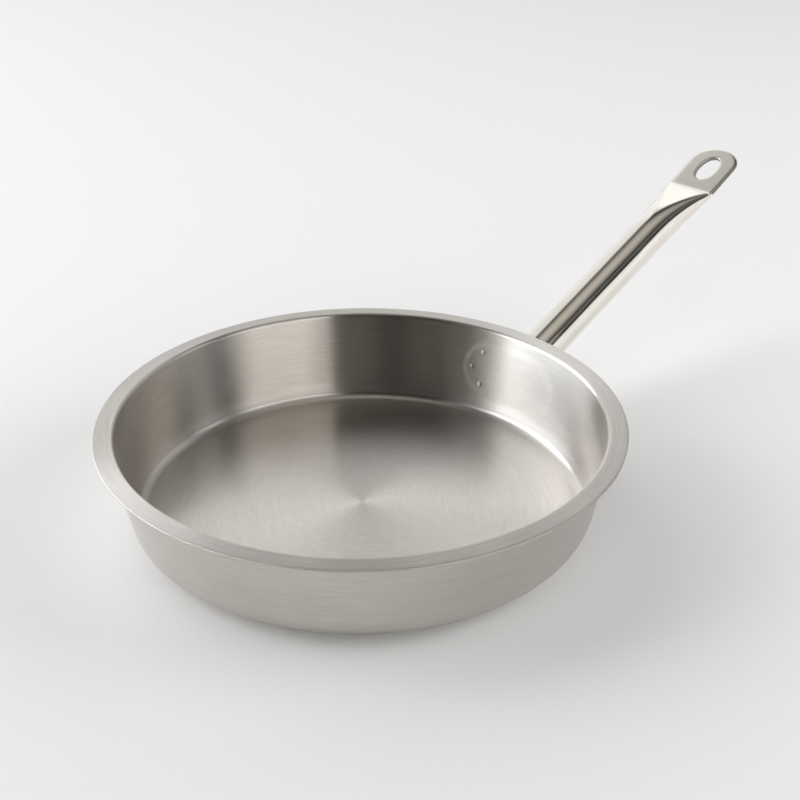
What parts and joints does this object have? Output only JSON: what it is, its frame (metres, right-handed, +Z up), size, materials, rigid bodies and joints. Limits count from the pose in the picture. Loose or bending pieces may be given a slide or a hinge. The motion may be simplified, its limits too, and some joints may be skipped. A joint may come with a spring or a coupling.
{
  "type": "saute pan",
  "caption": "Shallow round stainless saute pan with a flared wall, a flat turned-out lip and a raised tubular handle pressed flat at its end with an oval hanging slot.",
  "frame": {"origin": "centre of the underside of the base, on the pan's axis", "axes": "+Z up along the pan's axis, +X out along the handle"},
  "size_m": [0.4809, 0.28, 0.1185],
  "materials": {
    "satin_steel": "brushed round the axis, satin",
    "polished_steel": "mirror polished",
    "base_steel": "satin",
    "aluminium_core": "plain rolled"
  },
  "bodies": {
    "root": {"pan_body": "satin_steel", "heat_spreader_disc": "aluminium_core", "base_cap": "base_steel", "handle_mounting_plate": "base_steel", "handle_tube": "polished_steel", "handle_weld_bead": "base_steel"}
  },
  "joints": []
}
